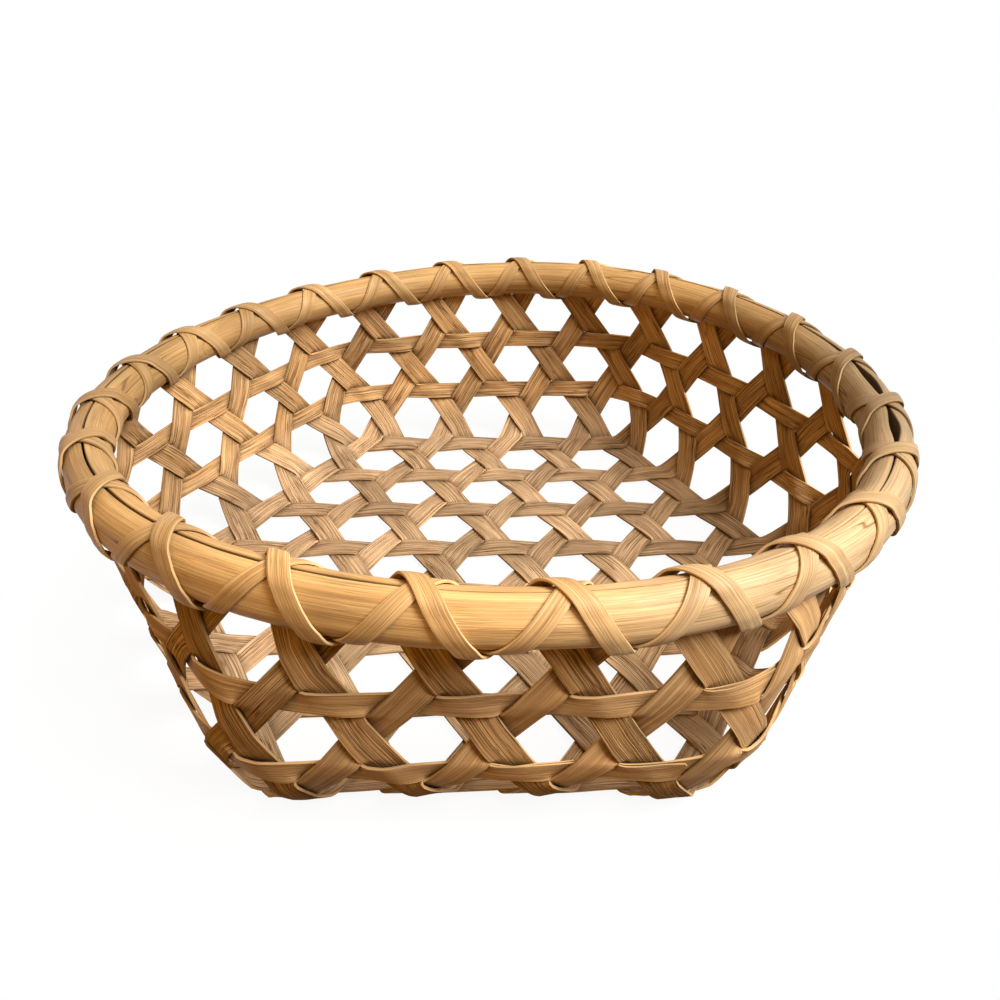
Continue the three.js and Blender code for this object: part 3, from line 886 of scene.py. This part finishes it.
def lasher_rows(weave, rim, hand, lift):
    """Rows of a lasher that winds round the rim once for each hole below it."""
    turns = weave.columns // 2
    turn_angle = 2 * math.pi / turns
    pitch = turn_angle * weave.rim_radius
    girth = math.pi * (rim.diameter + rim.lasher_thickness)
    half_angle = rim.lasher_width / 2 / math.cos(math.atan2(pitch, girth)) / weave.rim_radius
    start_turn = hand * (rim.lasher_start - math.pi / 2) / (2 * math.pi)
    trim = rim.lasher_end_gap / 2 / math.hypot(pitch, girth)
    count = turns * LASHER_STEPS
    rows = []
    for step in range(count + 1):
        turn = lerp(start_turn + trim, start_turn + turns - trim, step / count)
        around = math.pi / 2 + hand * turn * 2 * math.pi
        angle = weave.lashing_angle + rim.lasher_shift + turn * turn_angle
        angle += rim.lasher_drift * max(0, math.cos(angle - rim.drift_angle)) ** 2
        raised = lift * smoothstep(*LIFT_SINES, abs(math.sin(around)))
        row = []
        for share in lane_shares(LASHER_LANES):
            crown = rim.lasher_crown * (1 - share * share)
            radius = rim.diameter / 2 + rim.lasher_seat + rim.lasher_thickness / 2 + raised + crown
            row.append(
                polar(
                    weave.rim_radius + radius * math.cos(around),
                    angle - hand * share * half_angle,
                    weave.rim_height + radius * math.sin(around),
                )
            )
        rows.append(row)
    return rows


def add_lasher(weave, rim, name, hand, lift, finishes, number):
    """A lasher as a crowned sheet wound round the rim."""
    lanes = [list(lane) for lane in zip(*lasher_rows(weave, rim, hand, lift))]
    ribbon = add_ribbon(weave, "look_" + name, lanes, finishes, number)
    thicken(ribbon, rim.lasher_thickness, weave.sizes.edge_round)
    finish_piece(ribbon, name, [rim_tone(vertex.co) for vertex in ribbon.data.vertices])


class NodeBench:
    """Builds the nodes of one material or world step by step."""

    def __init__(self, owner):
        self.owner = owner
        owner.use_nodes = True
        self.tree = owner.node_tree
        self.tree.nodes.clear()

    def connect(self, socket, value):
        """Links an input to an output, or gives it a fixed value."""
        if isinstance(value, bpy.types.NodeSocket):
            self.tree.links.new(value, socket)
        else:
            socket.default_value = value

    def add(self, kind, settings=None, **inputs):
        """Adds a node. Inputs go by name, with an underscore for each space."""
        node = self.tree.nodes.new(kind)
        for key, value in (settings or {}).items():
            setattr(node, key, value)
        for key, value in inputs.items():
            self.connect(node.inputs[key.replace("_", " ")], value)
        return node

    def add_in_order(self, kind, settings, *values):
        """Adds a node whose inputs take the values in order."""
        node = self.add(kind, settings)
        for socket, value in zip(node.inputs, values):
            self.connect(socket, value)
        return node

    def grain_noise(self, along, across, detail, distortion=0.0):
        """Noise drawn out along the grain: cells in each metre along and across it."""
        spot = self.add("ShaderNodeUVMap", {"uv_map": GRAIN_MAP}).outputs["UV"]
        scaled = self.add_in_order(
            "ShaderNodeVectorMath", {"operation": "MULTIPLY"}, spot, (along, across, 1)
        )
        return self.add(
            "ShaderNodeTexNoise",
            {"noise_dimensions": "2D"},
            Vector=scaled.outputs[0],
            Scale=1.0,
            Detail=detail,
            Roughness=NOISE_ROUGHNESS,
            Distortion=distortion,
        ).outputs["Fac"]

    def remap(self, value, low, high, to_low=0.0, to_high=1.0):
        return self.add(
            "ShaderNodeMapRange",
            {"interpolation_type": "SMOOTHSTEP"},
            Value=value,
            From_Min=low,
            From_Max=high,
            To_Min=to_low,
            To_Max=to_high,
        ).outputs["Result"]

    def contours(self, value, width):
        """1 on thin lines where the value passes one half."""
        distance = self.maths("ABSOLUTE", self.maths("SUBTRACT", value, 0.5))
        return self.remap(distance, 0.0, width, 1.0, 0.0)

    def maths(self, operation, *values):
        return self.add_in_order("ShaderNodeMath", {"operation": operation}, *values).outputs[0]

    def mix(self, share, first, second):
        """Mixes two colours. The sockets of a colour mix are the first, seventh and eighth."""
        node = self.add("ShaderNodeMix", {"data_type": "RGBA"})
        for socket, value in zip((node.inputs[0], node.inputs[6], node.inputs[7]), (share, first, second)):
            self.connect(socket, value)
        return node.outputs[2]

    def mix_shaders(self, share, first, second):
        return self.add_in_order("ShaderNodeMixShader", None, share, first, second).outputs[0]

    def finish(self, kind, shader):
        """Sends a shader to the output, and returns the material or world."""
        self.add(kind, Surface=shader)
        return self.owner


def opaque(rgb):
    return (*rgb, 1.0)


@dataclass
class Grain:
    """How strongly the grain shows on one face of the wood, how dull or dusty it is, and how much painted
    light pales it.
    """

    lines: float
    hairs: float
    relief: float
    roughness: float
    sheen: float
    cracks: float = 0.0
    dust: float = 0.0
    painted_light: float = 0.0


SMOOTH_SIDE = Grain(lines=0.36, hairs=0.3, relief=0.6, roughness=0.55, sheen=0.04)
SPLIT_SIDE = Grain(lines=0.85, hairs=0.55, relief=0.9, roughness=0.75, sheen=0.02, dust=0.4)
CUT_EDGE = Grain(lines=0.3, hairs=0.2, relief=0.3, roughness=0.65, sheen=0.02)
RIM_FACE = Grain(lines=0.28, hairs=0.22, relief=0.3, roughness=0.45, sheen=0.2, cracks=0.85, painted_light=0.42)
LASHER_FACE = Grain(lines=0.4, hairs=0.3, relief=0.4, roughness=0.45, sheen=0.2, painted_light=0.25)

# Patterns of the grain: cells in each metre along and across it, detail and, for streaks, distortion
NOISE_ROUGHNESS = 0.6
STREAKS = (8, 380, 4, 0.3)
HAIRS = (25, 2600, 3)
LINES = (22, 720, 2)
LINE_PATCHES = (40, 150, 2)
CRACKS = (9, 150, 1)
CRACK_PATCHES = (13, 45, 1)

# Noise values between which a pattern goes from none to full, and the widths of its lines
NOISE_SPAN = (0.3, 0.7)
STREAK_SPAN = (0.26, 0.7)
PATCH_SPAN = (0.4, 0.6)
CRACK_SPAN = (0.58, 0.64)
LINE_WIDTH = 0.05
CRACK_WIDTH = 0.02
FAINTEST_LINE = 0.15

# Stains, dust low down, and painted light: wood made paler towards the key lamp at the front right
STAIN_SCALE = 24.0
STAIN_DETAIL = 3.0
STAIN_TONES = (0.82, 1.14)
DUST_COLOUR = (0.36, 0.295, 0.225)
DUST_HEIGHTS = (0.03, 0.002)
PAINTED_LIGHT_COLOUR = (0.69, 0.545, 0.36)
PAINTED_LIGHT_SPAN = (0.08, 0.15)
PAINTED_LIGHT_FRONT = -0.6

# The fibrous relief: its depth in metres, the share of each pattern in it, and how it shines
RELIEF_DEPTH = 0.0005
HAIR_RELIEF = 0.5
STREAK_RELIEF = 0.1
LINE_RELIEF = -0.35
HAIR_SHINE = 0.8
DULLER = 0.1
SHINIER = 0.05


def wood_tint(bench, light, dark, fibre, grain, streaks, lines, place):
    """Colour of the wood: streaks, then dust or painted light that pales the wood towards the key lamp,
    then dark fibre lines and cracks.
    """
    side = bench.add("ShaderNodeSeparateXYZ", Vector=place).outputs
    tint = bench.mix(bench.remap(streaks, *STREAK_SPAN), opaque(dark), opaque(light))
    if grain.dust:
        dusty = bench.remap(side["Z"], *DUST_HEIGHTS, 0.0, grain.dust)
        tint = bench.mix(dusty, tint, opaque(DUST_COLOUR))
    # Painted light: paler, greyer wood on the side towards the key lamp at the front right
    if grain.painted_light:
        towards_key_lamp = bench.maths("MULTIPLY_ADD", side["Y"], PAINTED_LIGHT_FRONT, side["X"])
        lamp_side_share = bench.remap(towards_key_lamp, *PAINTED_LIGHT_SPAN, 0.0, grain.painted_light)
        tint = bench.mix(lamp_side_share, tint, opaque(PAINTED_LIGHT_COLOUR))
    tint = bench.mix(bench.maths("MULTIPLY", lines, grain.lines), tint, opaque(fibre))
    if grain.cracks:
        cracks = bench.contours(bench.grain_noise(*CRACKS), CRACK_WIDTH)
        patches = bench.remap(bench.grain_noise(*CRACK_PATCHES), *CRACK_SPAN)
        cracked = bench.maths("MULTIPLY", bench.maths("MULTIPLY", cracks, patches), grain.cracks)
        tint = bench.mix(cracked, tint, opaque(fibre))
    return tint


def wood_finish(name, light, dark, fibre, grain):
    """Split wood: pale and brown streaks, fine hairs, crisp dark fibre lines and a fibrous relief."""
    bench = NodeBench(bpy.data.materials.new(name))
    streaks = bench.grain_noise(*STREAKS)
    hairs = bench.grain_noise(*HAIRS)
    patches = bench.remap(bench.grain_noise(*LINE_PATCHES), *PATCH_SPAN, FAINTEST_LINE, 1.0)
    lines = bench.maths("MULTIPLY", bench.contours(bench.grain_noise(*LINES), LINE_WIDTH), patches)
    place = bench.add("ShaderNodeTexCoord").outputs["Object"]
    tint = wood_tint(bench, light, dark, fibre, grain, streaks, lines, place)
    stain = bench.add("ShaderNodeTexNoise", Vector=place, Scale=STAIN_SCALE, Detail=STAIN_DETAIL)
    # The tone attribute carries each piece's tone and the painted shade beside crossings and in the rim's
    # slit
    tone = bench.add("ShaderNodeAttribute", {"attribute_name": TONE}).outputs["Fac"]
    stained = bench.remap(stain.outputs["Fac"], *NOISE_SPAN, *STAIN_TONES)
    hair_light = bench.remap(hairs, *NOISE_SPAN, 1 - grain.hairs, 1 + HAIR_SHINE * grain.hairs)
    brightness = bench.maths("MULTIPLY", bench.maths("MULTIPLY", tone, stained), hair_light)
    soft_ridges = bench.maths("MULTIPLY", streaks, STREAK_RELIEF)
    ridges = bench.maths("MULTIPLY_ADD", hairs, HAIR_RELIEF, soft_ridges)
    relief = bench.maths("MULTIPLY_ADD", lines, LINE_RELIEF, ridges)
    bump = bench.add("ShaderNodeBump", Height=relief, Strength=grain.relief, Distance=RELIEF_DEPTH)
    surface = bench.add(
        "ShaderNodeBsdfPrincipled",
        Base_Color=bench.add("ShaderNodeHueSaturation", Color=tint, Value=brightness).outputs["Color"],
        Roughness=bench.remap(streaks, *NOISE_SPAN, grain.roughness + DULLER, grain.roughness - SHINIER),
        Specular_IOR_Level=grain.sheen,
        Normal=bump.outputs["Normal"],
    )
    return bench.finish("ShaderNodeOutputMaterial", surface.outputs[0])


def splint_finishes(prefix, wood):
    """Smooth side, fibrous split side and pale cut edge of a strip of split wood."""
    light, dark, fibre = wood.splint_light, wood.splint_dark, wood.splint_fibre
    return [
        wood_finish(prefix + "_smooth_side", light, dark, fibre, SMOOTH_SIDE),
        wood_finish(prefix + "_split_side", light, dark, fibre, SPLIT_SIDE),
        wood_finish(prefix + "_cut_edge", wood.edge_light, light, fibre, CUT_EDGE),
    ]


def current_weave():
    scene = bpy.context.scene
    weave = HexWeave(scene.basket_weave, scene.basket_rim, scene.basket_settling)
    return weave, scene.basket_rim, scene.basket_wood


class BASKET_OT_splints(bpy.types.Operator):
    """Weave the splints from rim to rim through the base"""

    bl_idname = "basket.splints"
    bl_label = "Splints"

    def execute(self, context):
        weave, _, wood = current_weave()
        smooth, split, edge = splint_finishes("splint", wood)
        for number, strip in enumerate(weave.splints):
            outer = split if strip.name.startswith(SPLIT_SIDE_OUT) else smooth
            add_strip(weave, strip, [outer, split, edge], number)
        return {"FINISHED"}


class BASKET_OT_hoops(bpy.types.Operator):
    """Weave the level hoops round the wall"""

    bl_idname = "basket.hoops"
    bl_label = "Wall hoops"

    def execute(self, context):
        weave, _, wood = current_weave()
        finishes = splint_finishes("hoop", wood)
        for number, strip in enumerate(weave.hoops):
            add_strip(weave, strip, finishes, len(weave.splints) + number)
        return {"FINISHED"}


class BASKET_OT_rim(bpy.types.Operator):
    """Bend the two half-round rim hoops"""

    bl_idname = "basket.rim"
    bl_label = "Rim hoops"

    def execute(self, context):
        weave, rim, wood = current_weave()
        finish = wood_finish("rim_wood", wood.rim_light, wood.rim_dark, wood.rim_fibre, RIM_FACE)
        add_rim_hoop(weave, rim, "rim_outer", 1, rim.scarf_column_outer, finish, RIM_NUMBER)
        add_rim_hoop(weave, rim, "rim_inner", -1, rim.scarf_column_inner, finish, RIM_NUMBER + 1)
        return {"FINISHED"}


class BASKET_OT_lashing(bpy.types.Operator):
    """Wind the two lashers round the rim in opposite directions"""

    bl_idname = "basket.lashing"
    bl_label = "Lashing"

    def execute(self, context):
        weave, rim, wood = current_weave()
        light, dark, fibre = wood.lasher_light, wood.lasher_dark, wood.rim_fibre
        face = wood_finish("lasher_face", light, dark, fibre, LASHER_FACE)
        finishes = [face, face, wood_finish("lasher_edge", wood.lasher_edge, light, fibre, CUT_EDGE)]
        add_lasher(weave, rim, "lasher_under", 1, 0, finishes, LASHER_NUMBER)
        lift = rim.lasher_thickness + rim.lasher_crown + weave.sizes.contact_gap
        add_lasher(weave, rim, "lasher_over", -1, lift, finishes, LASHER_NUMBER + 1)
        return {"FINISHED"}


class BASKET_OT_studio(bpy.types.Operator):
    """Set up the floor, the lamps, the world and the camera"""

    bl_idname = "basket.studio"
    bl_label = "Studio"

    def execute(self, context):
        studio = context.scene.basket_studio
        add_floor(studio)
        set_world(studio)
        add_lamp("key_lamp", WHITE, studio.key_power, KEY_SIZE, KEY_PLACE)
        add_lamp("fill_lamp", studio.fill_colour, studio.fill_power, SOFT_SIZE, FILL_PLACE)
        add_lamp("side_lamp", studio.side_colour, studio.side_power, SOFT_SIZE, SIDE_PLACE)
        begin()
        bpy.ops.object.camera_add(location=studio.camera_place, rotation=studio.camera_turn)
        camera = context.active_object
        camera.name = "photo_camera"
        camera.data.sensor_width = SENSOR_WIDTH
        camera.data.lens = studio.lens
        camera.data.clip_start = CLIP_START
        context.scene.camera = camera
        context.scene.view_settings.view_transform = "Standard"
        return {"FINISHED"}


def add_lamp(name, light, power, size, place):
    """A soft square lamp that points at the middle of the basket."""
    begin()
    turn = (Vector(place) - LAMP_TARGET).to_track_quat("Z", "Y").to_euler()
    bpy.ops.object.light_add(type="AREA", location=place, rotation=turn)
    lamp = bpy.context.active_object
    lamp.name = name
    lamp.data.color = light
    lamp.data.energy = power
    lamp.data.size = size


def seen_directly(bench):
    """1 for rays that show the background itself: camera, mirror and glass rays."""
    path = bench.add("ShaderNodeLightPath").outputs
    seen = bench.maths("MAXIMUM", path["Is Camera Ray"], path["Is Glossy Ray"])
    return bench.maths("MAXIMUM", seen, path["Is Transmission Ray"])


def add_floor(studio):
    """White paper that shows the basket's soft shadow and throws back only a little light."""
    begin()
    bpy.ops.mesh.primitive_plane_add(size=FLOOR_SIZE, location=(0, 0, FLOOR_HEIGHT))
    floor = bpy.context.active_object
    floor.name = "floor"
    bench = NodeBench(bpy.data.materials.new("pale_floor"))
    seen = seen_directly(bench)
    paper_colour = bench.mix(seen, opaque(studio.floor_colour), opaque(PAPER_COLOUR))
    paper = bench.add("ShaderNodeBsdfDiffuse", Color=paper_colour)
    white = bench.add("ShaderNodeEmission", Color=opaque(WHITE), Strength=1.0)
    place = bench.add("ShaderNodeTexCoord").outputs["Object"]
    distance = bench.add_in_order("ShaderNodeVectorMath", {"operation": "LENGTH"}, place)
    brightened = bench.remap(distance.outputs["Value"], *SHADOW_RADII, studio.floor_white, 1.0)
    white_share = bench.maths("MULTIPLY", seen, brightened)
    shader = bench.mix_shaders(white_share, paper.outputs[0], white.outputs[0])
    floor.data.materials.append(bench.finish("ShaderNodeOutputMaterial", shader))


def set_world(studio):
    """A white background that lights the basket only faintly and warmly."""
    bench = NodeBench(bpy.data.worlds.new("studio"))
    ambient = bench.add(
        "ShaderNodeBackground", Color=opaque(studio.ambient_colour), Strength=studio.ambient
    )
    white = bench.add("ShaderNodeBackground", Color=opaque(WHITE), Strength=1.0)
    shader = bench.mix_shaders(seen_directly(bench), ambient.outputs[0], white.outputs[0])
    bpy.context.scene.world = bench.finish("ShaderNodeOutputWorld", shader)


class BASKET_PT_panel(bpy.types.Panel):
    """Buttons that make the pieces of the basket and its studio"""

    bl_idname = "BASKET_PT_panel"
    bl_label = "Cheese basket"
    bl_space_type = "VIEW_3D"
    bl_region_type = "UI"
    bl_category = "Basket"

    def draw(self, context):
        for operator in OPERATORS:
            self.layout.operator(operator.bl_idname)
        for group in GROUPS:
            settings = getattr(context.scene, group)
            for name in GROUPS[group].__annotations__:
                self.layout.prop(settings, name)


GROUPS = {
    "basket_weave": WeaveSizes,
    "basket_rim": RimSizes,
    "basket_settling": Settling,
    "basket_wood": WoodColours,
    "basket_studio": StudioSettings,
}
OPERATORS = (
    BASKET_OT_splints,
    BASKET_OT_hoops,
    BASKET_OT_rim,
    BASKET_OT_lashing,
    BASKET_OT_studio,
)


def register():
    for kind in (*GROUPS.values(), *OPERATORS, BASKET_PT_panel):
        bpy.utils.register_class(kind)
    for name, kind in GROUPS.items():
        setattr(bpy.types.Scene, name, PointerProperty(type=kind))


def unregister():
    for name in GROUPS:
        delattr(bpy.types.Scene, name)
    for kind in reversed((*GROUPS.values(), *OPERATORS, BASKET_PT_panel)):
        bpy.utils.unregister_class(kind)


def main():
    register()
    bpy.ops.basket.splints()
    bpy.ops.basket.hoops()
    bpy.ops.basket.rim()
    bpy.ops.basket.lashing()
    bpy.ops.basket.studio()


if __name__ == "__main__":
    main()
